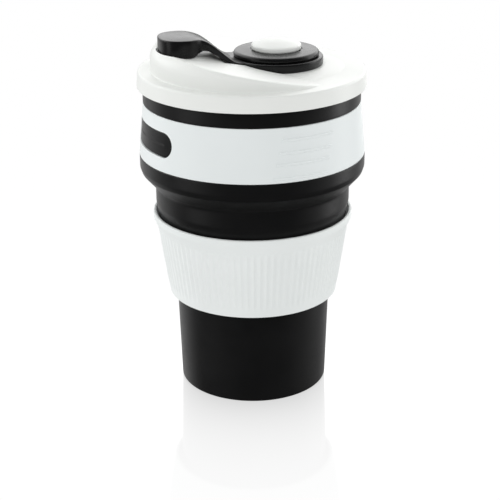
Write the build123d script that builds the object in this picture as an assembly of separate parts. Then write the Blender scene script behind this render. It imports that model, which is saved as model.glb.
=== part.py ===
from build123d import *
from math import copysign, cos, radians, sin
import os

# Collapsible travel cup. Millimetres, +Z up, origin at the centre of the underside.
# The drinking side of the lid faces -X. Radii are measured from the cup's axis.

os.makedirs("parts", exist_ok=True)

# Base tier: the lowest silicone tier, which stands on the table
BASE_BOTTOM_R = 30.1
BASE_TOP_R = 31.45
BASE_TOP_Z = 44.0
BASE_WALL = 2.3
BASE_FLOOR = 3.2
FOOT_GROOVE_R = (19.0, 25.8)
FOOT_GROOVE_DEPTH = 0.6

# Lower fold: the thin cone that turns inside out when the base is pushed up
LOWER_FOLD_TOP_Z = 50.0
FOLD_WALL = 1.4

# Middle tier: a cone under the grip sleeve, then a straight neck above it
MIDDLE_BOTTOM_R = 34.45
MIDDLE_CONE_TOP_R = 38.35
MIDDLE_CONE_TOP_Z = 75.0
NECK_R = 39.0
NECK_START_Z = 78.0
NECK_TOP_Z = 85.4
MIDDLE_WALL = 1.8

# Upper tier: rounded bead, thin wall behind the collar band, thick rim under the lid
BEAD_R = 45.0
BEAD_BOTTOM_Z = 91.9
BEAD_TOP_Z = 98.1
BEAD_INNER_R = 42.8
RIM_R = 43.05
RIM_INNER_R = 40.8
RIM_BOTTOM_Z = 118.95
RIM_TOP_Z = 129.4
TIER_WALL = 1.1

# Collar band: tapered ring with two slots and two groups of raised finger ribs
BAND_BOTTOM_R = 45.0
BAND_TOP_R = 43.05
BAND_WALL = 1.1
BAND_GAP = 0.05
SLOT_LENGTH = 34.4
SLOT_HEIGHT = 9.8
SLOT_Z = 108.5
SLOT_ANGLES = (7.5, 187.5)
PAD_RECESS = 0.3
PAD_GAP = 0.15
RIB_HEIGHTS = (99.8, 105.0, 109.3, 114.2)
RIB_ANGLES = (101.0, 281.0)
RIB_SPAN = 29.0
RIB_STAGGER = 1.6
RIB_RELIEF = 0.3
RIB_WIDTH = 1.1

# Grip sleeve: a cone with a proud lip round its top edge
SLEEVE_BOTTOM_Z = 39.2
SLEEVE_TOP_Z = 73.8
SLEEVE_BOTTOM_R = 34.3
SLEEVE_CONE_TOP = (38.45, 67.3)
SLEEVE_LIP_R = 40.2
SLEEVE_LIP_Z = 71.1
SLEEVE_MOUTH_R = 39.2
SLEEVE_GAP = 0.05

# Lid shell: skirt, flat ledge, and a round dome cut by a slope that rises to the drinking side
SKIRT_BOTTOM_Z = 125.3
SKIRT_BOTTOM_R = 45.3
SKIRT_TOP_R = 44.8
SKIRT_INNER_R = 43.45
LEDGE_Z = 131.6
LEDGE_UNDERSIDE_Z = 129.5
SEAL_R = 40.4
SEAL_INNER_R = 39.0
SEAL_BOTTOM_Z = 124.6
DOME_R = 39.7
DOME_INNER_R = 37.9
SLOPE_CENTRE_Z = 134.76
SLOPE_RISE = 0.189
SLOPE_WALL = 1.9
DOME_EDGE_ROUND = 1.6
CROWN_Z = 136.5
CROWN_ROUND = 5.2
CROWN_WALL = 1.8
COVE_R = 0.5
DISH_R = 37.0
DISH_DEPTH = 0.7

# Pivot seat: level pocket for the stopper's ring, sunk in the slope on its high side
PIVOT_X = 10.1
SEAT_Z = 132.6
SEAT_R = 18.75
SEAT_BOSS_R = 19.5
SEAT_FAIRING_R = 27.0
SEAT_WALL_R = 20.5
SEAT_UNDERSIDE_Z = 130.8
SEAT_EDGE_ROUND = 0.9
STEM_HOLE_R = 3.2
BARB_POCKET_R = 5.0
CHANNEL_END_X = -14.3
CHANNEL_HALF_WIDTH = 10.1
CHANNEL_FLOOR_Z = 134.9
TAB_BOTTOM_Z = 135.15

# Plug recess and drinking hole
PLUG_X = -26.9
RECESS_R = 10.6
RECESS_Z = 139.0
RECESS_FAIRING_R = 15.4
RECESS_FAIRING_DEPTH = 1.5
RECESS_UNDERSIDE_Z = 137.15
RECESS_WALL_R = 14.8
HOLE_X = -27.6
HOLE_R = 5.5

# Stopper: ring round the pivot, living hinge, strap and plug head
RING_R = 18.45
RING_HOLE_R = 8.2
RING_BOTTOM_Z = 132.65
RING_TOP_Z = 136.0
HINGE_X = -10.2
HINGE_Z = 137.15
STRAP_START_Z = 135.9
TAB_HALF_WIDTH = 9.8
PLUG_R = 10.0
PLUG_TOP_Z = 145.95
PLUG_BOTTOM_Z = 139.3
PLUG_SQUARENESS = 2.6
PLUG_EDGE_ROUND = 0.6
PLUG_UNDER_ROUND = 0.4
SPIGOT_R = 5.1
SPIGOT_BEAD_R = 5.35
SPIGOT_BOTTOM_Z = 135.0

# Pivot disc and button
DISC_R = 16.85
DISC_TOP_Z = 138.55
DISC_EDGE_Z = 138.1
DISC_EDGE_ROUND = 1.3
DISC_UNDERCUT = 0.9
DISC_UNDERCUT_Z = 136.4
DISC_HUB_R = 8.05
BUTTON_R = 9.85
BUTTON_SEAT_Z = 138.1
BUTTON_EDGE_Z = 140.35
BUTTON_TOP_Z = 142.2
BUTTON_ROUND = 0.9
BUTTON_UNDER_ROUND = 1.0
STEM_R = 2.9
BARB_R = 3.9
BARB_TIP_R = 2.6
BARB_LENGTH = 1.7
BARB_EDGE = 0.4


def turned(outline, sweep=360):
    """Solid turned about Z from (radius, height, corner rounding) points."""
    face = make_face(Polyline(*[(r, z) for r, z, rounding in outline], close=True))
    for r, z, rounding in outline:
        if rounding:
            corner = face.vertices().sort_by_distance((r, z))[0]
            face = fillet(corner, rounding)
    return revolve(Plane.XZ * face, Axis.Z, sweep)


def cylinder(x, radius, bottom, top):
    """Upright cylinder centred at (x, 0)."""
    disc = Plane((x, 0, bottom)) * Circle(radius)
    return extrude(disc, top - bottom)


def cone_r(z, low, high):
    """Radius at height z on the cone through two (radius, height) points."""
    return low[0] + (high[0] - low[0]) * (z - low[1]) / (high[1] - low[1])


def band_r(z):
    """Outer radius of the collar band at height z."""
    return cone_r(z, (BAND_BOTTOM_R, BEAD_TOP_Z), (BAND_TOP_R, RIM_BOTTOM_Z))


def middle_r(z):
    """Outer radius of the middle tier's cone at height z."""
    return cone_r(z, (MIDDLE_BOTTOM_R, LOWER_FOLD_TOP_Z), (MIDDLE_CONE_TOP_R, MIDDLE_CONE_TOP_Z))


def slot_prism(angle, shrink):
    """Radial stadium prism through the band at one slot."""
    outward = Vector(cos(radians(angle)), sin(radians(angle)), 0)
    around = Vector(-sin(radians(angle)), cos(radians(angle)), 0)
    plane = Plane(origin=outward * 30 + Vector(0, 0, SLOT_Z), x_dir=around, z_dir=outward)
    return extrude(plane * SlotOverall(SLOT_LENGTH - 2 * shrink, SLOT_HEIGHT - 2 * shrink), 20)


def slope_plane(x, drop=0):
    """Plane of the lid's slope, lowered by drop, with its origin above (x, 0)."""
    origin = (x, 0, SLOPE_CENTRE_Z - SLOPE_RISE * x - drop)
    return Plane(origin=origin, x_dir=(1, 0, -SLOPE_RISE), z_dir=(SLOPE_RISE, 0, 1))


def below_slope(solid, drop):
    """The part of a solid under the lid's slope, lowered by drop."""
    return split(solid, slope_plane(0, drop), keep=Keep.BOTTOM)


def base_tier():
    inner_top_r = BASE_TOP_R - BASE_WALL
    inner_bottom_r = BASE_BOTTOM_R - BASE_WALL
    groove_in, groove_out = FOOT_GROOVE_R
    return turned([
        (0, 0, 0),
        (groove_in, 0, 0),
        (groove_in + FOOT_GROOVE_DEPTH, FOOT_GROOVE_DEPTH, 0),
        (groove_out - FOOT_GROOVE_DEPTH, FOOT_GROOVE_DEPTH, 0),
        (groove_out, 0, 0),
        (BASE_BOTTOM_R, 0, 1.0),
        (BASE_TOP_R, BASE_TOP_Z, 0),
        (inner_top_r, BASE_TOP_Z, 0),
        (inner_bottom_r, BASE_FLOOR, 4.0),
        (0, BASE_FLOOR, 0),
    ])


def lower_fold():
    return turned([
        (BASE_TOP_R - FOLD_WALL, BASE_TOP_Z, 0),
        (BASE_TOP_R, BASE_TOP_Z, 0),
        (MIDDLE_BOTTOM_R, LOWER_FOLD_TOP_Z, 0),
        (MIDDLE_BOTTOM_R - FOLD_WALL, LOWER_FOLD_TOP_Z, 0),
    ])


def middle_tier():
    return turned([
        (MIDDLE_BOTTOM_R, LOWER_FOLD_TOP_Z, 0),
        (MIDDLE_CONE_TOP_R, MIDDLE_CONE_TOP_Z, 0),
        (NECK_R, NECK_START_Z, 4.0),
        (NECK_R, NECK_TOP_Z, 0),
        (NECK_R - MIDDLE_WALL, NECK_TOP_Z, 0),
        (NECK_R - MIDDLE_WALL, NECK_START_Z, 4.0),
        (MIDDLE_CONE_TOP_R - MIDDLE_WALL, MIDDLE_CONE_TOP_Z, 0),
        (MIDDLE_BOTTOM_R - MIDDLE_WALL, LOWER_FOLD_TOP_Z, 0),
    ])


def upper_fold():
    return turned([
        (NECK_R - MIDDLE_WALL, NECK_TOP_Z, 0),
        (NECK_R, NECK_TOP_Z, 0),
        (BEAD_R, BEAD_BOTTOM_Z, 0),
        (BEAD_INNER_R, BEAD_BOTTOM_Z, 0),
    ])


def upper_tier():
    """Bead, wall and rim in one, with a pad that fills each slot of the band."""
    wall_low_r = BAND_BOTTOM_R - BAND_WALL - BAND_GAP
    wall_high_r = BAND_TOP_R - BAND_WALL - BAND_GAP
    tier = turned([
        (BEAD_INNER_R, BEAD_BOTTOM_Z, 0),
        (BEAD_R, BEAD_BOTTOM_Z, 0),
        (BEAD_R, BEAD_TOP_Z, 0.3),
        (wall_low_r, BEAD_TOP_Z, 0),
        (wall_high_r, RIM_BOTTOM_Z, 0),
        (RIM_R, RIM_BOTTOM_Z, 0.3),
        (RIM_R, RIM_TOP_Z, 0.8),
        (RIM_INNER_R, RIM_TOP_Z, 0.8),
        (wall_high_r - TIER_WALL, RIM_BOTTOM_Z, 0),
        (wall_low_r - TIER_WALL, BEAD_TOP_Z, 0),
    ])
    pad_low_z = SLOT_Z - SLOT_HEIGHT / 2
    pad_high_z = SLOT_Z + SLOT_HEIGHT / 2
    pad_depth = BAND_WALL + BAND_GAP + TIER_WALL / 2
    shell = turned([
        (band_r(pad_low_z) - pad_depth, pad_low_z, 0),
        (band_r(pad_low_z) - PAD_RECESS, pad_low_z, 0),
        (band_r(pad_high_z) - PAD_RECESS, pad_high_z, 0),
        (band_r(pad_high_z) - pad_depth, pad_high_z, 0),
    ])
    for angle in SLOT_ANGLES:
        tier += shell & slot_prism(angle, PAD_GAP)
    return tier


def finger_rib(z, angle):
    """One raised rib that runs round the band for RIB_SPAN degrees."""
    half = RIB_WIDTH / 2
    bar = turned([
        (band_r(z - half) - BAND_WALL / 2, z - half, 0),
        (band_r(z - half), z - half, 0),
        (band_r(z) + RIB_RELIEF, z - half / 2, 0),
        (band_r(z) + RIB_RELIEF, z + half / 2, 0),
        (band_r(z + half), z + half, 0),
        (band_r(z + half) - BAND_WALL / 2, z + half, 0),
    ], RIB_SPAN)
    return Rot(0, 0, angle - RIB_SPAN / 2) * bar


def collar_band():
    band = turned([
        (BAND_BOTTOM_R - BAND_WALL, BEAD_TOP_Z, 0),
        (BAND_BOTTOM_R, BEAD_TOP_Z, 0.3),
        (BAND_TOP_R, RIM_BOTTOM_Z, 0.3),
        (BAND_TOP_R - BAND_WALL, RIM_BOTTOM_Z, 0),
    ])
    for angle in SLOT_ANGLES:
        band -= slot_prism(angle, 0)
    for angle in RIB_ANGLES:
        for step, z in enumerate(RIB_HEIGHTS):
            band += finger_rib(z, angle + RIB_STAGGER * (step - 1.5))
    return band


def grip_sleeve():
    mouth_z = SLEEVE_TOP_Z - 1.6
    return turned([
        (middle_r(SLEEVE_BOTTOM_Z) + SLEEVE_GAP, SLEEVE_BOTTOM_Z, 0.3),
        (SLEEVE_BOTTOM_R, SLEEVE_BOTTOM_Z, 0.4),
        (*SLEEVE_CONE_TOP, 3.0),
        (SLEEVE_LIP_R, SLEEVE_LIP_Z, 1.2),
        (SLEEVE_LIP_R, SLEEVE_TOP_Z, 0.35),
        (SLEEVE_MOUTH_R, SLEEVE_TOP_Z, 0.2),
        (middle_r(mouth_z) + SLEEVE_GAP, mouth_z, 0),
    ])


def lid_dome():
    """Round dome cut by the slope, slightly dished inside its rounded rim."""
    dome = below_slope(cylinder(0, DOME_R, LEDGE_UNDERSIDE_Z - 10, 150), 0)
    dome = fillet(dome.edges().sort_by(Axis.Z)[-1], DOME_EDGE_ROUND)
    dome &= crown(DOME_R, CROWN_ROUND)
    ball_r = (DISH_R**2 + DISH_DEPTH**2) / (2 * DISH_DEPTH)
    dome -= slope_plane(0, DISH_DEPTH) * Pos(0, 0, ball_r) * Sphere(ball_r)
    return dome - seat_edge_cutter() - channel_edge_cutter()


def crown(radius, rounding):
    """Turned body whose top edge rounds off above CROWN_Z, where only the dome's high side reaches."""
    return turned([
        (0, LEDGE_UNDERSIDE_Z, 0),
        (radius, LEDGE_UNDERSIDE_Z, 0),
        (radius, CROWN_Z + rounding, rounding),
        (radius - rounding - 1, CROWN_Z + rounding, 0),
        (radius - rounding - 1, 150, 0),
        (0, 150, 0),
    ])


def dome_cove():
    """Concave fillet round the foot of the dome."""
    outer_r = DOME_R + COVE_R
    outline = [
        Line((DOME_R - 1, LEDGE_Z - 0.5), (outer_r, LEDGE_Z - 0.5)),
        Line((outer_r, LEDGE_Z - 0.5), (outer_r, LEDGE_Z)),
        CenterArc((outer_r, LEDGE_Z + COVE_R), COVE_R, 180, 90),
        Line((DOME_R, LEDGE_Z + COVE_R), (DOME_R - 1, LEDGE_Z + COVE_R)),
        Line((DOME_R - 1, LEDGE_Z + COVE_R), (DOME_R - 1, LEDGE_Z - 0.5)),
    ]
    return below_slope(revolve(Plane.XZ * make_face(outline), Axis.Z), DOME_EDGE_ROUND + 0.1)


def recess_fairing():
    """Shallow cone round the plug's pocket, square to the slope and no deeper than the pocket."""
    cone = turned([
        (0, -RECESS_FAIRING_DEPTH, 0),
        (RECESS_R - 0.5, -RECESS_FAIRING_DEPTH, 0),
        (RECESS_FAIRING_R, 0, 0),
        (RECESS_FAIRING_R, 12, 0),
        (0, 12, 0),
    ])
    return split(slope_plane(PLUG_X) * cone, Plane.XY.offset(RECESS_Z), keep=Keep.TOP)


def squarish(x, radius, angle):
    """Point at an angle on a squarish round outline centred at (x, 0)."""
    along = abs(cos(radians(angle))) ** (2 / PLUG_SQUARENESS)
    across = abs(sin(radians(angle))) ** (2 / PLUG_SQUARENESS)
    return x + copysign(radius * along, cos(radians(angle))), copysign(radius * across, sin(radians(angle)))


def edge_profile(half_width):
    """Half section of a cutter that rounds the edge of a pocket of that half width."""
    rounding = SEAT_EDGE_ROUND
    height = 12
    return [
        Line((0, -rounding), (half_width, -rounding)),
        RadiusArc((half_width, -rounding), (half_width + rounding, 0), rounding),
        Line((half_width + rounding, 0), (half_width + rounding, height)),
        Line((half_width + rounding, height), (0, height)),
        Line((0, height), (0, -rounding)),
    ]


def seat_edge_cutter():
    """Rounds the rim of the pivot seat where it sinks into the dished slope."""
    profile = make_face(edge_profile(SEAT_R))
    cutter = revolve(Plane.XZ * profile, Axis.Z)
    return slope_plane(PIVOT_X, DISH_DEPTH * 0.75) * cutter


def channel_edge_cutter():
    """Rounds both long edges of the strap's channel."""
    half = extrude(Plane.YZ * make_face(edge_profile(CHANNEL_HALF_WIDTH)), CHANNEL_END_X)
    return slope_plane(0, DISH_DEPTH * 0.75) * (half + mirror(half, Plane.XZ))


def lid_shell():
    dome = lid_dome()
    rim = turned([
        (0, LEDGE_UNDERSIDE_Z, 0),
        (SEAL_INNER_R, LEDGE_UNDERSIDE_Z, 0),
        (SEAL_INNER_R, SEAL_BOTTOM_Z, 0.5),
        (SEAL_R, SEAL_BOTTOM_Z, 0.6),
        (SEAL_R, LEDGE_UNDERSIDE_Z, 0),
        (SKIRT_INNER_R, LEDGE_UNDERSIDE_Z, 0),
        (SKIRT_INNER_R, SKIRT_BOTTOM_Z, 0.3),
        (SKIRT_BOTTOM_R, SKIRT_BOTTOM_Z, 0.3),
        (SKIRT_TOP_R, LEDGE_Z, 1.0),
        (0, LEDGE_Z, 0),
    ])
    void = below_slope(cylinder(0, DOME_INNER_R, LEDGE_UNDERSIDE_Z, 150), SLOPE_WALL)
    void &= crown(DOME_R - CROWN_WALL, CROWN_ROUND - CROWN_WALL)
    void -= cylinder(PIVOT_X, SEAT_WALL_R, SEAT_UNDERSIDE_Z, 150)
    void -= cylinder(PLUG_X, RECESS_WALL_R, RECESS_UNDERSIDE_Z, 150)
    void -= channel(CHANNEL_HALF_WIDTH + 1.6, CHANNEL_END_X - 1.6, CHANNEL_FLOOR_Z - 1.8)
    void += cylinder(PIVOT_X, BARB_POCKET_R, LEDGE_UNDERSIDE_Z - 1, SEAT_UNDERSIDE_Z)
    boss = turned([
        (0, LEDGE_UNDERSIDE_Z, 0),
        (SEAT_FAIRING_R, LEDGE_UNDERSIDE_Z, 0),
        (SEAT_FAIRING_R, LEDGE_Z, 0),
        (SEAT_BOSS_R, SEAT_Z, 0),
        (0, SEAT_Z, 0),
    ])
    shell = dome + dome_cove() + rim + Pos(PIVOT_X, 0, 0) * boss
    shell -= void
    shell -= cylinder(PIVOT_X, SEAT_R, SEAT_Z, 150)
    shell -= channel(CHANNEL_HALF_WIDTH, CHANNEL_END_X, CHANNEL_FLOOR_Z)
    shell -= recess_fairing()
    pocket = Spline(*[squarish(PLUG_X, RECESS_R, 15 * step) for step in range(24)], periodic=True)
    shell -= extrude(Plane((0, 0, RECESS_Z)) * make_face(pocket), 150 - RECESS_Z)
    shell -= cylinder(PIVOT_X, STEM_HOLE_R, LEDGE_UNDERSIDE_Z - 1, 150)
    shell -= cylinder(HOLE_X, HOLE_R, LEDGE_UNDERSIDE_Z - 1, 150)
    return shell


def channel(half_width, end_x, floor_z):
    """Trough from the pivot seat out to end_x, which the strap dips into."""
    outline = Plane((end_x / 2, 0, floor_z)) * RectangleRounded(-end_x, 2 * half_width, 2.0)
    return extrude(outline, 150 - floor_z)


def stopper_ring():
    """Ring round the pivot with a short tab that ends at the living hinge."""
    ring = turned([
        (RING_HOLE_R, RING_BOTTOM_Z, 0),
        (RING_R, RING_BOTTOM_Z, 0.4),
        (RING_R, RING_TOP_Z, 0.6),
        (RING_HOLE_R, RING_TOP_Z, 0),
    ])
    ring = Pos(PIVOT_X, 0, 0) * ring
    tab_side = make_face(Polyline(
        (-4.0, TAB_BOTTOM_Z),
        (HINGE_X, TAB_BOTTOM_Z),
        (HINGE_X, HINGE_Z - 0.05),
        (HINGE_X + 1.5, RING_TOP_Z),
        (-4.0, RING_TOP_Z),
        close=True,
    ))
    return ring + extrude(Plane.XZ * tab_side, TAB_HALF_WIDTH, both=True)


def strap_plan():
    """Outline of the strap and plug seen from above: broad at the hinge, waisted, then round."""
    start_x = HINGE_X - 0.05
    side = Spline(
        (start_x, TAB_HALF_WIDTH),
        (-14.5, 9.45),
        (-18.0, 8.3),
        (-21.3, 7.3),
        (-24.0, 8.9),
        *[squarish(PLUG_X, PLUG_R, angle) for angle in (90, 112.5, 135, 157.5, 180)],
        tangents=[(-1, 0), (0, -1)],
    )
    butt = Line((start_x, -TAB_HALF_WIDTH), (start_x, TAB_HALF_WIDTH))
    return make_face([side, mirror(side, Plane.XZ), butt])


def strap_side():
    """Side view of the strap and plug: it climbs from the hinge, arched clear of the lid."""
    start_x = HINGE_X - 0.05
    end_x = PLUG_X - PLUG_R - 1
    top = Spline(
        (start_x, HINGE_Z),
        (-12.6, 139.1),
        (-16.5, 142.4),
        (-20.0, 144.7),
        (-23.0, 145.75),
        (PLUG_X, PLUG_TOP_Z),
        tangents=[(-1, 0.75), (-1, 0)],
    )
    under = Spline(
        (PLUG_X, PLUG_BOTTOM_Z),
        (-24.5, 139.75),
        (-21.5, 139.95),
        (-18.5, 139.35),
        (-14.6, 137.75),
        (start_x, STRAP_START_Z),
    )
    edges = [
        top,
        Line((PLUG_X, PLUG_TOP_Z), (end_x, PLUG_TOP_Z)),
        Line((end_x, PLUG_TOP_Z), (end_x, PLUG_BOTTOM_Z)),
        Line((end_x, PLUG_BOTTOM_Z), (PLUG_X, PLUG_BOTTOM_Z)),
        under,
        Line((start_x, STRAP_START_Z), (start_x, HINGE_Z)),
    ]
    return make_face(edges)


def rim_edges(solid, low_z, high_z):
    """Curved edges round the outline of the strap and plug, with their middles between two heights."""
    edges = [edge for edge in solid.edges() if edge.geom_type != GeomType.LINE]
    return [edge for edge in edges if low_z < edge.center().Z < high_z and outer(edge)]


def outer(edge):
    """Whether an edge lies on the outline, not across the middle of a face."""
    middle = edge.position_at(0.5)
    return abs(middle.Y) > 0.5 or middle.X < PLUG_X - PLUG_R + 0.5


def stopper_plug():
    """Strap, plug head and the spigot that closes the drinking hole."""
    plan = extrude(Plane((0, 0, 130)) * strap_plan(), 20)
    side = extrude(Plane.XZ * strap_side(), 15, both=True)
    body = plan & side
    body = fillet(rim_edges(body, 141.0, 150), PLUG_EDGE_ROUND)
    body = fillet(rim_edges(body, 136.5, 141.0), PLUG_UNDER_ROUND)
    spigot = turned([
        (0, SPIGOT_BOTTOM_Z, 0),
        (SPIGOT_R - 1.2, SPIGOT_BOTTOM_Z, 0),
        (SPIGOT_BEAD_R, SPIGOT_BOTTOM_Z + 1.4, 0.3),
        (SPIGOT_R, SPIGOT_BOTTOM_Z + 2.4, 0),
        (SPIGOT_R, PLUG_BOTTOM_Z + 1, 0),
        (0, PLUG_BOTTOM_Z + 1, 0),
    ])
    return body + Pos(HOLE_X, 0, 0) * spigot


def pivot_disc():
    """Round cap over the ring, with a hub in the ring's hole and a seat for the button."""
    disc = turned([
        (STEM_HOLE_R, SEAT_Z + 0.15, 0),
        (DISC_HUB_R, SEAT_Z + 0.15, 0),
        (DISC_HUB_R, RING_TOP_Z + 0.05, 0),
        (DISC_R - DISC_UNDERCUT, RING_TOP_Z + 0.05, 0),
        (DISC_R - DISC_UNDERCUT, DISC_UNDERCUT_Z, 0),
        (DISC_R, DISC_UNDERCUT_Z, 0.3),
        (DISC_R, DISC_EDGE_Z, DISC_EDGE_ROUND),
        (BUTTON_R + 0.25, DISC_TOP_Z, 0.2),
        (BUTTON_R + 0.25, BUTTON_SEAT_Z, 0),
        (STEM_HOLE_R, BUTTON_SEAT_Z, 0),
    ])
    return Pos(PIVOT_X, 0, 0) * disc


def pivot_button():
    """Domed button with a stem through disc, ring and lid, and a snap barb under the lid."""
    barb_top_z = SEAT_UNDERSIDE_Z - 0.15
    tip_z = barb_top_z - BARB_LENGTH
    outline = [
        Line((0, tip_z), (BARB_TIP_R, tip_z)),
        Line((BARB_TIP_R, tip_z), (BARB_R, barb_top_z - BARB_EDGE)),
        Line((BARB_R, barb_top_z - BARB_EDGE), (BARB_R, barb_top_z)),
        Line((BARB_R, barb_top_z), (STEM_R, barb_top_z)),
        Line((STEM_R, barb_top_z), (STEM_R, BUTTON_SEAT_Z + 0.05)),
        Line((STEM_R, BUTTON_SEAT_Z + 0.05), (BUTTON_R, BUTTON_SEAT_Z + 0.05)),
        Line((BUTTON_R, BUTTON_SEAT_Z + 0.05), (BUTTON_R, BUTTON_EDGE_Z)),
        TangentArc((0, BUTTON_TOP_Z), (BUTTON_R, BUTTON_EDGE_Z), tangent=(1, 0)),
        Line((0, BUTTON_TOP_Z), (0, tip_z)),
    ]
    face = make_face(outline)
    for height, rounding in ((BUTTON_EDGE_Z, BUTTON_ROUND), (BUTTON_SEAT_Z, BUTTON_UNDER_ROUND)):
        edge = face.vertices().sort_by_distance((BUTTON_R, height))[0]
        face = fillet(edge, rounding)
    return Pos(PIVOT_X, 0, 0) * revolve(Plane.XZ * face, Axis.Z)


nodes = {
    "cup_base_tier": base_tier(),
    "cup_lower_fold": lower_fold(),
    "cup_middle_tier": middle_tier(),
    "cup_upper_fold": upper_fold(),
    "cup_upper_tier": upper_tier(),
    "collar_band": collar_band(),
    "grip_sleeve": grip_sleeve(),
    "lid_shell": lid_shell(),
    "stopper_ring": stopper_ring(),
    "stopper_plug": stopper_plug(),
    "pivot_disc": pivot_disc(),
    "pivot_button": pivot_button(),
}

for name, shape in nodes.items():
    export_step(shape, f"parts/{name}.step")
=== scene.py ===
import math
import bpy
import bmesh
from mathutils import Matrix, Vector


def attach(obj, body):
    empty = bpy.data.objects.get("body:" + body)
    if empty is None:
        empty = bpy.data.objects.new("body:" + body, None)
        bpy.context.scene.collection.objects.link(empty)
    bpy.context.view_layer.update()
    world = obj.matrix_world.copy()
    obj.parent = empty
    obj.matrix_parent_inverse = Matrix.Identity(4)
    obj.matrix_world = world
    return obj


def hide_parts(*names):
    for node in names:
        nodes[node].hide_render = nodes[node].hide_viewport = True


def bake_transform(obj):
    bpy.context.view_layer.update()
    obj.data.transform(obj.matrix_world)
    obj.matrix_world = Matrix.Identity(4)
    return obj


# Looks of the collapsible travel cup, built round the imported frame.
# Shapes are given in millimetres in the part's frame and scaled to metres when a mesh is made.

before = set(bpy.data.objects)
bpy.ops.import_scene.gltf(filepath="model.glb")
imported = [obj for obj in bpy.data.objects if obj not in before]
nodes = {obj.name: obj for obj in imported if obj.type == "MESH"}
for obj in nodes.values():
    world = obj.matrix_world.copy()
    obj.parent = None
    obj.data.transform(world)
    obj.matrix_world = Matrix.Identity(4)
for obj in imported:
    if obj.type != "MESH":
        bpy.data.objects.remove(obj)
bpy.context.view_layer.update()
MM = 0.001
# Radius below which an outline point lies on the axis
ON_AXIS = 1e-6

# ---------------------------------------------------------------- shape helpers


def arc_corner(before, corner, after, radius, step=0.16):
    """Points of the arc of that radius that rounds a corner between two neighbours."""
    into = (Vector(before) - Vector(corner)).normalized()
    out = (Vector(after) - Vector(corner)).normalized()
    angle = into.angle(out)
    reach = radius / math.tan(angle / 2)
    centre = Vector(corner) + (into + out).normalized() * (radius / math.sin(angle / 2))
    start = Vector(corner) + into * reach - centre
    end = Vector(corner) + out * reach - centre
    sweep = start.angle(end)
    turn = math.copysign(sweep, start.x * end.y - start.y * end.x)
    count = max(3, math.ceil(sweep / step))
    points = []
    for i in range(count + 1):
        a = turn * i / count
        x = start.x * math.cos(a) - start.y * math.sin(a)
        y = start.x * math.sin(a) + start.y * math.cos(a)
        points.append((centre.x + x, centre.y + y))
    return points


def rounded(points, spacing=1.2):
    """Dense closed (radius, height) outline from (radius, height, corner rounding) points."""
    dense = []
    for i, (r, z, rounding) in enumerate(points):
        if rounding:
            before = points[i - 1][:2]
            after = points[(i + 1) % len(points)][:2]
            dense += arc_corner(before, (r, z), after, rounding)
        else:
            dense.append((r, z))
    filled = []
    for i, here in enumerate(dense):
        filled.append(here)
        there = dense[(i + 1) % len(dense)]
        gap = math.dist(here, there)
        parts = math.ceil(gap / spacing)
        if here[0] < ON_AXIS and there[0] < ON_AXIS:
            parts = 1
        for k in range(1, parts):
            filled.append(tuple(a + (b - a) * k / parts for a, b in zip(here, there)))
    return filled


def lathe_into(verts, faces, outline, segments, centre=(0, 0), relief=None):
    """Adds the surface turned from a closed outline. relief(angle, r, z) is added to the radius."""
    rings = []
    for r, z in outline:
        if r < ON_AXIS:
            rings.append([len(verts)])
            verts.append((centre[0], centre[1], z))
            continue
        ring = []
        for k in range(segments):
            angle = 2 * math.pi * k / segments
            radius = r + (relief(angle, r, z) if relief else 0)
            ring.append(len(verts))
            verts.append((centre[0] + radius * math.cos(angle), centre[1] + radius * math.sin(angle), z))
        rings.append(ring)
    for i, low in enumerate(rings):
        high = rings[(i + 1) % len(rings)]
        if len(low) == 1 and len(high) == 1:
            continue
        for k in range(segments):
            n = (k + 1) % segments
            if len(low) == 1:
                faces.append((low[0], high[n], high[k]))
            elif len(high) == 1:
                faces.append((low[k], low[n], high[0]))
            else:
                faces.append((low[k], low[n], high[n], high[k]))


def make_piece(name, verts, faces, sharp=38):
    """Mesh object from millimetre vertices, with smooth shading and outward faces."""
    mesh = bpy.data.meshes.new(name)
    mesh.from_pydata([tuple(c * MM for c in v) for v in verts], [], faces)
    work = bmesh.new()
    work.from_mesh(mesh)
    bmesh.ops.recalc_face_normals(work, faces=work.faces)
    work.to_mesh(mesh)
    work.free()
    mesh.shade_smooth()
    mesh.set_sharp_from_angle(angle=math.radians(sharp))
    piece = bpy.data.objects.new(name, mesh)
    bpy.context.scene.collection.objects.link(piece)
    return piece


def spline_at(knots, t):
    """Smooth value at t through (t, value) knots, by Catmull-Rom with uneven steps."""
    if t <= knots[0][0]:
        return knots[0][1]
    if t >= knots[-1][0]:
        return knots[-1][1]
    i = max(k for k in range(len(knots) - 1) if knots[k][0] <= t)
    t0, v0 = knots[i]
    t1, v1 = knots[i + 1]
    before = knots[i - 1] if i else (t0 - (t1 - t0), v0)
    after = knots[i + 2] if i + 2 < len(knots) else (t1 + (t1 - t0), v1)
    slope0 = (v1 - before[1]) / (t1 - before[0])
    slope1 = (after[1] - v0) / (after[0] - t0)
    h = t1 - t0
    s = (t - t0) / h
    a = 2 * s**3 - 3 * s**2 + 1
    b = s**3 - 2 * s**2 + s
    c = -2 * s**3 + 3 * s**2
    d = s**3 - s**2
    return a * v0 + b * h * slope0 + c * v1 + d * h * slope1


def ramp(t, start, end):
    """Smooth step from 0 at start to 1 at end."""
    s = min(1.0, max(0.0, (t - start) / (end - start)))
    return s * s * (3 - 2 * s)


# ---------------------------------------------------------------- black silicone body

SEGMENTS = 288

lower_outline = rounded([
    (0, 0, 0),
    (19.0, 0, 0),
    (19.6, 0.6, 0),
    (25.2, 0.6, 0),
    (25.8, 0, 0.3),
    (30.1, 0, 1.0),
    (31.45, 44.0, 3.0),
    (34.4, 49.9, 0),
    (32.65, 49.9, 0),
    (29.15, 44.0, 3.0),
    (27.8, 3.2, 4.0),
    (0, 3.2, 0),
])
verts, faces = [], []
lathe_into(verts, faces, lower_outline, SEGMENTS)
body_lower = make_piece("cup_body_lower", verts, faces)

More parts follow.
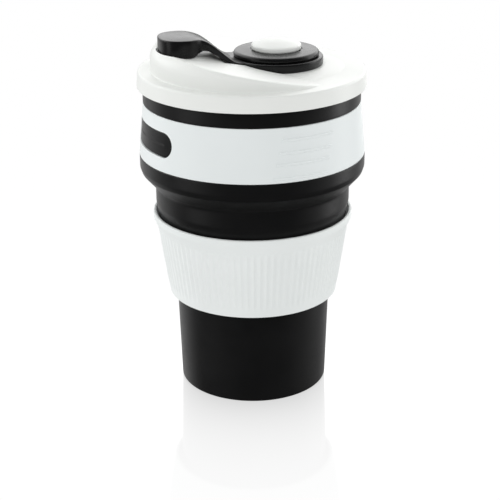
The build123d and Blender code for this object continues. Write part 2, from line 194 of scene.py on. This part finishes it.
BAND_BOTTOM_R = 45.0
BAND_TOP_R = 43.05
BAND_BOTTOM_Z = 98.1
BAND_TOP_Z = 118.95
BAND_SLOPE = (BAND_TOP_R - BAND_BOTTOM_R) / (BAND_TOP_Z - BAND_BOTTOM_Z)


def band_r(z):
    """Outer radius of the collar band at height z."""
    return BAND_BOTTOM_R + BAND_SLOPE * (z - BAND_BOTTOM_Z)


upper_outline = rounded([
    (32.65, 50.0, 0),
    (34.4, 50.0, 0),
    (38.35, 75.0, 30.0),
    (39.0, 78.0, 6.0),
    (39.0, 85.0, 2.2),
    (44.35, 91.0, 2.0),
    (45.0, 93.0, 2.5),
    (45.0, 98.05, 0.35),
    (43.8, 98.05, 0),
    (41.85, 118.98, 0),
    (43.05, 118.98, 0.4),
    (43.05, 129.4, 0.8),
    (40.8, 129.4, 0.8),
    (40.8, 119.2, 1.0),
    (42.55, 98.3, 1.0),
    (42.7, 92.4, 2.0),
    (37.3, 85.6, 2.0),
    (37.2, 78.0, 4.0),
    (36.55, 75.0, 0),
], spacing=1.0)
verts, faces = [], []
lathe_into(verts, faces, upper_outline, SEGMENTS)

PAD_Z = 108.5
PAD_HALF_LENGTH = 17.05
PAD_HALF_HEIGHT = 4.75
PAD_RECESS = 0.3
PAD_ROUND = 0.5
PAD_DEPTH = 1.5
PAD_ANGLES = (7.5, 187.5)
PAD_FACE_INSETS = (1.2, 2.2, 3.2, 4.1, 4.6)
PAD_ROUND_STEPS = 5
PAD_END_STEPS = 16
PAD_SIDE_STEPS = 12


def stadium(inset):
    """Points round a stadium outline, shrunk by inset: (along, up)."""
    radius = PAD_HALF_HEIGHT - inset
    straight = PAD_HALF_LENGTH - PAD_HALF_HEIGHT
    points = []
    for side in (1, -1):
        for k in range(PAD_END_STEPS + 1):
            angle = math.pi * k / PAD_END_STEPS - side * math.pi / 2
            points.append((side * straight + radius * math.cos(angle), radius * math.sin(angle)))
        for k in range(1, PAD_SIDE_STEPS):
            points.append((side * (straight - 2 * straight * k / PAD_SIDE_STEPS), side * radius))
    return points


def pad_into(verts, faces, facing):
    """Adds one pad: a low stadium whose face follows the band's cone, with a rounded rim."""
    outward = Vector((math.cos(facing), math.sin(facing), 0))
    around = Vector((-math.sin(facing), math.cos(facing), 0))
    levels = [(0, PAD_DEPTH)]
    for k in range(PAD_ROUND_STEPS + 1):
        a = math.pi / 2 * k / PAD_ROUND_STEPS
        levels.append((PAD_ROUND * (1 - math.cos(a)), PAD_ROUND * (1 - math.sin(a))))
    levels += [(inset, 0) for inset in PAD_FACE_INSETS]
    rings = []
    for inset, sunk in levels:
        ring = []
        for along, up in stadium(inset):
            r = band_r(PAD_Z + up) - PAD_RECESS - sunk
            place = outward * math.sqrt(r * r - along * along) + around * along
            ring.append(len(verts))
            verts.append((place.x, place.y, PAD_Z + up))
        rings.append(ring)
    count = len(rings[0])
    for low, high in zip(rings, rings[1:]):
        for k in range(count):
            n = (k + 1) % count
            faces.append((low[k], low[n], high[n], high[k]))
    for ring in (rings[0], rings[-1]):
        faces.append(tuple(ring))


for angle in PAD_ANGLES:
    pad_into(verts, faces, math.radians(angle))
body_upper = make_piece("cup_body_upper", verts, faces)

# ---------------------------------------------------------------- grip sleeve

RIB_COUNT = 92
RIB_RELIEF = 0.3
RIB_LOW_Z = 42.2
RIB_HIGH_Z = 68.6
RIB_FADE_LOW = 2.2
RIB_FADE_HIGH = 3.2
RIB_SHARPNESS = 1.4
RIB_BALANCE = 0.45
RIB_SKIN = 0.6
SLEEVE_FOOT_R = 34.3
SLEEVE_FOOT_Z = 39.2
SLEEVE_SHOULDER_R = 38.45
SLEEVE_SHOULDER_Z = 67.3


def sleeve_rib(angle, r, z):
    """Relief of the sleeve's upright ribs, which fade out at both ends."""
    climb = (z - SLEEVE_FOOT_Z) / (SLEEVE_SHOULDER_Z - SLEEVE_FOOT_Z)
    outer_r = SLEEVE_FOOT_R + (SLEEVE_SHOULDER_R - SLEEVE_FOOT_R) * climb
    if r < outer_r - RIB_SKIN or not RIB_LOW_Z < z < RIB_HIGH_Z:
        return 0
    fade_in = ramp(z, RIB_LOW_Z, RIB_LOW_Z + RIB_FADE_LOW)
    fade_out = 1 - ramp(z, RIB_HIGH_Z - RIB_FADE_HIGH, RIB_HIGH_Z)
    wave = 0.5 + 0.5 * math.cos(angle * RIB_COUNT)
    return RIB_RELIEF * fade_in * fade_out * (wave**RIB_SHARPNESS - RIB_BALANCE)


sleeve_outline = rounded([
    (32.82, SLEEVE_FOOT_Z, 0.3),
    (SLEEVE_FOOT_R, SLEEVE_FOOT_Z, 0.5),
    (SLEEVE_SHOULDER_R, SLEEVE_SHOULDER_Z, 5.0),
    (40.2, 71.3, 1.2),
    (40.2, 73.8, 0.45),
    (39.2, 73.8, 0.2),
    (37.97, 72.2, 0),
], spacing=1.1)
verts, faces = [], []
lathe_into(verts, faces, sleeve_outline, RIB_COUNT * 10, relief=sleeve_rib)
sleeve = make_piece("grip_sleeve_ribbed", verts, faces)

# ---------------------------------------------------------------- stopper

PIVOT_X = 10.1
PLUG_X = -26.9
PLUG_R = 10.0
PLUG_SQUARENESS = 2.6
HOLE_X = -27.6
STRAP_ROOT_X = -3.0
STRAP_STEP = 0.45
STRAP_TIP_GAP = 0.3
STRAP_TIP_STEPS = 40
STRAP_TOP_ROUND = 0.55
STRAP_UNDER_ROUND = 0.5
STRAP_ROUND_STEPS = 4
STRAP_FULL_DEPTH = 1.4

# Knots of the strap along its length: (distance from the cup's axis, height or half width)
STRAP_TOP = [
    (3.0, 135.95), (7.2, 136.0), (8.6, 136.3), (10.2, 137.2), (12.6, 139.1),
    (16.5, 142.4), (20.0, 144.7), (23.0, 145.72), (26.9, 145.95), (40.0, 145.95),
]
STRAP_UNDER = [
    (3.0, 135.2), (8.4, 135.2), (10.4, 135.75), (14.6, 138.1), (18.2, 140.45),
    (20.8, 141.0), (23.0, 140.4), (24.8, 139.5), (26.9, 139.35), (40.0, 139.35),
]
STRAP_HALF_WIDTH = [
    (3.0, 9.8), (8.0, 9.8), (10.2, 9.8), (14.5, 9.45), (18.0, 8.3), (21.3, 7.35), (24.0, 8.75), (26.9, 10.0),
]


def strap_stations():
    """Half outline of strap and plug from above: (x, half width), root first, tip last."""
    points = []
    x = -STRAP_ROOT_X
    while x < -PLUG_X - STRAP_TIP_GAP:
        points.append((-x, spline_at(STRAP_HALF_WIDTH, x)))
        x += STRAP_STEP
    for k in range(STRAP_TIP_STEPS + 1):
        a = math.pi / 2 * k / STRAP_TIP_STEPS
        reach = abs(math.sin(a)) ** (2 / PLUG_SQUARENESS)
        width = abs(math.cos(a)) ** (2 / PLUG_SQUARENESS)
        points.append((PLUG_X - PLUG_R * reach, PLUG_R * width))
    return points


def strap_into(verts, faces):
    """Adds the strap and plug as one shell with rounded upper and lower edges."""
    half = strap_stations()
    normals = []
    for i, (x, w) in enumerate(half):
        ax, aw = half[max(0, i - 1)]
        bx, bw = half[min(len(half) - 1, i + 1)]
        along = Vector((bx - ax, bw - aw)).normalized()
        normals.append(Vector((along.y, -along.x)))
    normals = [n if n.y > 0 or n.x < 0 else -n for n in normals]
    normals[-1] = Vector((-1, 0))
    arc = [math.pi / 2 * k / STRAP_ROUND_STEPS for k in range(STRAP_ROUND_STEPS + 1)]
    levels = []
    for a in arc:
        levels.append(("under", STRAP_UNDER_ROUND * (1 - math.sin(a)), STRAP_UNDER_ROUND * (1 - math.cos(a))))
    for share in (0.25, 0.5, 0.75):
        levels.append((share, 0, 0))
    for a in arc:
        levels.append(("top", STRAP_TOP_ROUND * (1 - math.cos(a)), STRAP_TOP_ROUND * (1 - math.sin(a))))
    left, right = [], []
    for side, store in ((1, left), (-1, right)):
        for kind, inset, sunk in levels:
            row = []
            for (x, w), n in zip(half, normals):
                px = x - n.x * inset
                pw = max(0.0, w - n.y * inset)
                top = spline_at(STRAP_TOP, -px)
                under = spline_at(STRAP_UNDER, -px)
                shrink = min(1.0, (top - under) / STRAP_FULL_DEPTH)
                if kind == "top":
                    z = top - sunk * shrink
                elif kind == "under":
                    z = under + sunk * shrink
                else:
                    low = under + STRAP_UNDER_ROUND * shrink
                    high = top - STRAP_TOP_ROUND * shrink
                    z = low + (high - low) * kind
                row.append(len(verts))
                verts.append((px, side * pw, z))
            store.append(row)
    count = len(half)
    for store in (left, right):
        for low, high in zip(store, store[1:]):
            for i in range(count - 1):
                faces.append((low[i], low[i + 1], high[i + 1], high[i]))
    for row_l, row_r in ((left[0], right[0]), (left[-1], right[-1])):
        for i in range(count - 2):
            faces.append((row_l[i], row_l[i + 1], row_r[i + 1], row_r[i]))
        faces.append((row_l[count - 2], row_l[count - 1], row_r[count - 2]))
    faces.append(tuple(row[0] for row in left) + tuple(row[0] for row in reversed(right)))


verts, faces = [], []
strap_into(verts, faces)
ring_outline = rounded([
    (8.2, 132.65, 0.3),
    (18.45, 132.65, 0.45),
    (18.45, 136.0, 0.7),
    (8.2, 136.0, 0.3),
])
lathe_into(verts, faces, ring_outline, 160, centre=(PIVOT_X, 0))
spigot_outline = rounded([
    (0, 135.0, 0),
    (3.9, 135.0, 0.3),
    (5.35, 136.4, 0.3),
    (5.1, 137.4, 0.4),
    (5.1, 140.6, 0),
    (0, 140.6, 0),
], spacing=0.8)
lathe_into(verts, faces, spigot_outline, 72, centre=(HOLE_X, 0))
stopper = make_piece("stopper_moulding", verts, faces)
weld = bmesh.new()
weld.from_mesh(stopper.data)
bmesh.ops.remove_doubles(weld, verts=weld.verts, dist=0.000001)
weld.to_mesh(stopper.data)
weld.free()

# ---------------------------------------------------------------- materials


class Nodes:
    """Short calls for building the node tree of a material or a world."""

    def __init__(self, owner):
        owner.use_nodes = True
        self.tree = owner.node_tree
        self.tree.nodes.clear()

    def add(self, kind, **values):
        node = self.tree.nodes.new(kind)
        for key, value in values.items():
            if hasattr(node, key):
                setattr(node, key, value)
            else:
                node.inputs[key.replace("_", " ")].default_value = value
        return node

    def link(self, source, target):
        self.tree.links.new(source, target)

    def noise(self, coords, scale, detail, roughness):
        node = self.add("ShaderNodeTexNoise", Scale=scale, Detail=detail, Roughness=roughness)
        self.link(coords, node.inputs["Vector"])
        return node.outputs["Fac"]

    def remap(self, value, low, high, to_low, to_high, blend="LINEAR"):
        node = self.add("ShaderNodeMapRange", From_Min=low, From_Max=high, To_Min=to_low, To_Max=to_high)
        node.interpolation_type = blend
        self.link(value, node.inputs["Value"])
        return node.outputs["Result"]

    def math(self, operation, a, b):
        node = self.add("ShaderNodeMath", operation=operation)
        for socket, value in zip(node.inputs, (a, b)):
            if isinstance(value, (int, float)):
                socket.default_value = value
            else:
                self.link(value, socket)
        return node.outputs[0]

    def mix(self, factor, a, b):
        """Colour mix from a, a colour or a socket, to the colour b."""
        node = self.add("ShaderNodeMix", data_type="RGBA")
        self.link(factor, node.inputs["Factor"])
        if isinstance(a, tuple):
            node.inputs["A"].default_value = (*a, 1)
        else:
            self.link(a, node.inputs["A"])
        node.inputs["B"].default_value = (*b, 1)
        return node.outputs["Result"]


PER_METRE = 1000
MOTTLE_SCALE = 0.06
RUB_STRETCH = (0.35, 0.35, 2.4)
RUB_SCALE = 0.9
RUB_GLOSS = 1.2
GRAIN_DEPTH = 0.00006
SCUFF_DEPTH = 0.00012
SCUFF_SHARE = 0.35
DUST_SCALE = 2.6
DUST_START = 0.74
DUST_FADE = 0.06
DUST_AMOUNT = 0.12
DUST_COLOUR = (0.03, 0.03, 0.032)


def moulded(name, base, tint, rough, rough_swing, specular, grain, grain_size, dusty=False):
    """Moulded rubber or plastic: mottled colour, uneven gloss, fine grain and faint scuffs."""
    material = bpy.data.materials.new(name)
    n = Nodes(material)
    coords = n.add("ShaderNodeTexCoord").outputs["Object"]
    scaled = n.add("ShaderNodeMapping")
    scaled.inputs["Scale"].default_value = (PER_METRE, PER_METRE, PER_METRE)
    n.link(coords, scaled.inputs["Vector"])
    place = scaled.outputs["Vector"]
    flow = n.add("ShaderNodeMapping")
    flow.inputs["Scale"].default_value = RUB_STRETCH
    n.link(place, flow.inputs["Vector"])

    broad = n.noise(place, MOTTLE_SCALE, 4.0, 0.55)
    fine = n.noise(place, 1.0 / grain_size, 5.0, 0.65)
    rubbed = n.noise(flow.outputs["Vector"], RUB_SCALE, 6.0, 0.7)

    shader = n.add("ShaderNodeBsdfPrincipled")
    colour = n.mix(n.remap(broad, 0.35, 0.65, 0, 1), base, tint)
    if dusty:
        dust = n.noise(place, DUST_SCALE, 2.0, 0.8)
        colour = n.mix(n.remap(dust, DUST_START, DUST_START + DUST_FADE, 0, DUST_AMOUNT), colour, DUST_COLOUR)
    n.link(colour, shader.inputs["Base Color"])

    gloss = n.math("ADD", n.remap(broad, 0.3, 0.7, -rough_swing, rough_swing), rough)
    gloss = n.math("ADD", gloss, n.remap(rubbed, 0.45, 0.75, 0, rough_swing * RUB_GLOSS))
    n.link(gloss, shader.inputs["Roughness"])
    shader.inputs["Specular IOR Level"].default_value = specular

    bump = n.add("ShaderNodeBump", Strength=grain, Distance=GRAIN_DEPTH)
    n.link(fine, bump.inputs["Height"])
    scuff = n.add("ShaderNodeBump", Strength=grain * SCUFF_SHARE, Distance=SCUFF_DEPTH)
    n.link(rubbed, scuff.inputs["Height"])
    n.link(bump.outputs["Normal"], scuff.inputs["Normal"])
    n.link(scuff.outputs["Normal"], shader.inputs["Normal"])
    output = n.add("ShaderNodeOutputMaterial")
    n.link(shader.outputs["BSDF"], output.inputs["Surface"])
    return material


black = moulded(
    "black_silicone_satin", (0.0058, 0.0058, 0.0061), (0.0072, 0.0072, 0.0075),
    rough=0.36, rough_swing=0.05, specular=0.34, grain=0.22, grain_size=0.35, dusty=True,
)
stopper_black = moulded(
    "stopper_silicone_satin", (0.0060, 0.0060, 0.0063), (0.0074, 0.0074, 0.0077),
    rough=0.28, rough_swing=0.04, specular=0.28, grain=0.2, grain_size=0.35, dusty=True,
)
sleeve_white = moulded(
    "sleeve_silicone_matte", (0.80, 0.832, 0.823), (0.812, 0.842, 0.834),
    rough=0.58, rough_swing=0.05, specular=0.35, grain=0.25, grain_size=0.4,
)
band_white = moulded(
    "band_plastic_satin", (0.785, 0.826, 0.826), (0.798, 0.837, 0.837),
    rough=0.42, rough_swing=0.05, specular=0.45, grain=0.16, grain_size=0.3,
)
lid_white = moulded(
    "lid_plastic_satin", (0.815, 0.832, 0.807), (0.828, 0.844, 0.82),
    rough=0.40, rough_swing=0.05, specular=0.45, grain=0.16, grain_size=0.3,
)


def dress(piece, material):
    """Gives a piece one material on all of its slots."""
    if not piece.data.materials:
        piece.data.materials.append(material)
    for slot in piece.material_slots:
        slot.material = material


for piece, material, slot in (
    (body_lower, black, "black_silicone"),
    (body_upper, black, "black_silicone"),
    (sleeve, sleeve_white, "sleeve_silicone"),
    (stopper, stopper_black, "stopper_silicone"),
    (nodes["collar_band"], band_white, "band_plastic"),
    (nodes["lid_shell"], lid_white, "lid_plastic"),
    (nodes["pivot_disc"], stopper_black, "stopper_silicone"),
    (nodes["pivot_button"], lid_white, "lid_plastic"),
):
    dress(piece, material)

CAD_SHARP_ANGLE = 30
for name in ("collar_band", "lid_shell", "pivot_disc", "pivot_button"):
    nodes[name].data.set_sharp_from_angle(angle=math.radians(CAD_SHARP_ANGLE))

# ---------------------------------------------------------------- riding on the frame

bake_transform(body_lower)
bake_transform(body_upper)
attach(sleeve, "middle")
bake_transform(stopper)
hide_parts("cup_base_tier", "cup_lower_fold")
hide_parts("cup_middle_tier", "cup_upper_fold", "cup_upper_tier")
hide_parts("grip_sleeve")
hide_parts("stopper_ring", "stopper_plug")

# ---------------------------------------------------------------- floor

FOOT_R = 30.0
FLOOR_HALF = 30
FLOOR_ROUGHNESS = 0.06
# Strength of the mirror image at the foot, and the millimetres over which it fades
MIRROR_NEAR = (0.20, 18)
MIRROR_FAR = (0.10, 75)


def make_floor():
    """White floor with a faint mirror image of the cup that fades away from its foot."""
    mesh = bpy.data.meshes.new("studio_floor")
    corners = [(x * FLOOR_HALF, y * FLOOR_HALF, 0) for x, y in ((-1, -1), (1, -1), (1, 1), (-1, 1))]
    mesh.from_pydata(corners, [], [(0, 1, 2, 3)])
    floor = bpy.data.objects.new("studio_floor", mesh)
    bpy.context.scene.collection.objects.link(floor)
    material = bpy.data.materials.new("studio_floor_white")
    n = Nodes(material)
    coords = n.add("ShaderNodeTexCoord").outputs["Object"]
    distance = n.add("ShaderNodeVectorMath", operation="LENGTH")
    n.link(coords, distance.inputs[0])
    radius = n.math("MULTIPLY", distance.outputs["Value"], PER_METRE)
    away = n.math("MAXIMUM", n.math("SUBTRACT", radius, FOOT_R), 0)
    near, far = (
        n.math("MULTIPLY", n.math("POWER", math.e, n.math("MULTIPLY", away, -1 / reach)), strength)
        for strength, reach in (MIRROR_NEAR, MIRROR_FAR)
    )
    glow = n.add("ShaderNodeEmission", Strength=1.0)
    mirror = n.add("ShaderNodeBsdfGlossy", Roughness=FLOOR_ROUGHNESS)
    mixer = n.add("ShaderNodeMixShader")
    n.link(n.math("ADD", near, far), mixer.inputs[0])
    n.link(glow.outputs[0], mixer.inputs[1])
    n.link(mirror.outputs[0], mixer.inputs[2])
    output = n.add("ShaderNodeOutputMaterial")
    n.link(mixer.outputs[0], output.inputs["Surface"])
    mesh.materials.append(material)
    floor.visible_diffuse = False
    floor.visible_glossy = False
    floor.visible_transmission = False
    floor.visible_shadow = False


make_floor()

# ---------------------------------------------------------------- light

AMBIENT_TOP = 0.71
AMBIENT_SIDE = 0.43
AMBIENT_LOW = 1.38
BACKDROP = 2.75
GLOW_LOW = 0.045
GLOW_LEFT = 0.07
GLOW_RIGHT = 0.36
GLOW_REAR = 0.86
# Makes the background white to the camera, because its own colour is 80 percent grey
CAMERA_WHITE = 1.25


def make_world():
    """White studio: plain white behind, soft ambient light, and bright walls for reflections."""
    world = bpy.data.worlds.new("studio")
    bpy.context.scene.world = world
    n = Nodes(world)

    def ease(value, low, high, to_low, to_high):
        return n.remap(value, low, high, to_low, to_high, "SMOOTHSTEP")

    axes = n.add("ShaderNodeSeparateXYZ")
    n.link(n.add("ShaderNodeTexCoord").outputs["Generated"], axes.inputs[0])
    ray = n.add("ShaderNodeLightPath")
    side, back, up = (axes.outputs[i] for i in range(3))
    risen = ease(up, -0.02, 0.16, 0, 1)
    shine = n.math("MULTIPLY", n.math("MULTIPLY", ease(back, -0.2, 0.5, 0, 1), risen), BACKDROP)
    shine = n.math("ADD", shine, ease(up, 0.05, -0.15, 0, GLOW_LOW))
    level = ease(n.math("ABSOLUTE", up, 0), 0.35, 0.75, 1, 0)
    for direction, strength in ((-1, GLOW_LEFT), (1, GLOW_RIGHT)):
        wall = ease(n.math("MULTIPLY", side, direction), 0.5, 0.9, 0, strength)
        shine = n.math("ADD", shine, n.math("MULTIPLY", wall, level))
    low_rear = n.math("MULTIPLY", ease(back, 0.3, 0.85, 0, GLOW_REAR), ease(up, 0.0, -0.2, 0, 1))
    shine = n.math("ADD", shine, low_rear)
    above = n.remap(up, 0, 1, AMBIENT_SIDE, AMBIENT_TOP)
    soft = n.math("ADD", above, n.remap(up, -0.6, 0, AMBIENT_LOW - AMBIENT_SIDE, 0))
    lit = n.math("MULTIPLY", shine, ray.outputs["Is Glossy Ray"])
    lit = n.math("ADD", lit, n.math("MULTIPLY", soft, ray.outputs["Is Diffuse Ray"]))
    lit = n.math("ADD", lit, n.math("MULTIPLY", ray.outputs["Is Camera Ray"], CAMERA_WHITE))
    background = n.add("ShaderNodeBackground")
    n.link(lit, background.inputs["Strength"])
    n.link(background.outputs[0], n.add("ShaderNodeOutputWorld").inputs["Surface"])


make_world()

MIDDLE = (0, 0, 0.08)
# Name, place in metres, width, height, power, and whether it shows in reflections
SOFTBOXES = [
    ("softbox_left", (-1.0, -0.15, 0.25), 0.5, 1.1, 1.7, True),
    ("softbox_right", (1.0, -0.05, 0.25), 0.4, 1.1, 3.1, True),
    ("softbox_front", (-0.2, -1.1, 0.9), 1.0, 0.7, 6.5, False),
    ("softbox_rear_left", (-0.9, 0.9, 0.35), 0.5, 0.9, 7, False),
    ("softbox_rear_right", (0.9, 0.9, 0.35), 0.5, 0.9, 14.5, False),
]


def softbox(name, place, width, height, power, glossy):
    """Rectangular light that faces the middle of the cup."""
    lamp = bpy.data.lights.new(name, "AREA")
    lamp.shape = "RECTANGLE"
    lamp.size = width
    lamp.size_y = height
    lamp.energy = power
    light = bpy.data.objects.new(name, lamp)
    bpy.context.scene.collection.objects.link(light)
    light.location = place
    light.rotation_euler = (Vector(MIDDLE) - Vector(place)).to_track_quat("-Z", "Y").to_euler()
    light.visible_camera = False
    light.visible_glossy = glossy


for box in SOFTBOXES:
    softbox(*box)

# ---------------------------------------------------------------- camera


def make_camera():
    """Long-lens camera that looks down on the cup from the front left."""
    place = Vector((-0.14488, -0.50525, 0.26146))
    aim = Vector((-0.00114, 0.00032, 0.05457))
    roll = math.radians(-0.4388)
    camera = bpy.data.objects.new("camera", bpy.data.cameras.new("camera"))
    bpy.context.scene.collection.objects.link(camera)
    camera.data.lens = 98.53
    camera.data.sensor_width = 36
    camera.data.clip_start = 0.01
    camera.data.clip_end = 100
    turn = (aim - place).to_track_quat("-Z", "Y").to_matrix() @ Matrix.Rotation(roll, 3, "Z")
    camera.matrix_world = Matrix.Translation(place) @ turn.to_4x4()
    bpy.context.scene.camera = camera


make_camera()
bpy.context.scene.view_settings.view_transform = "Standard"
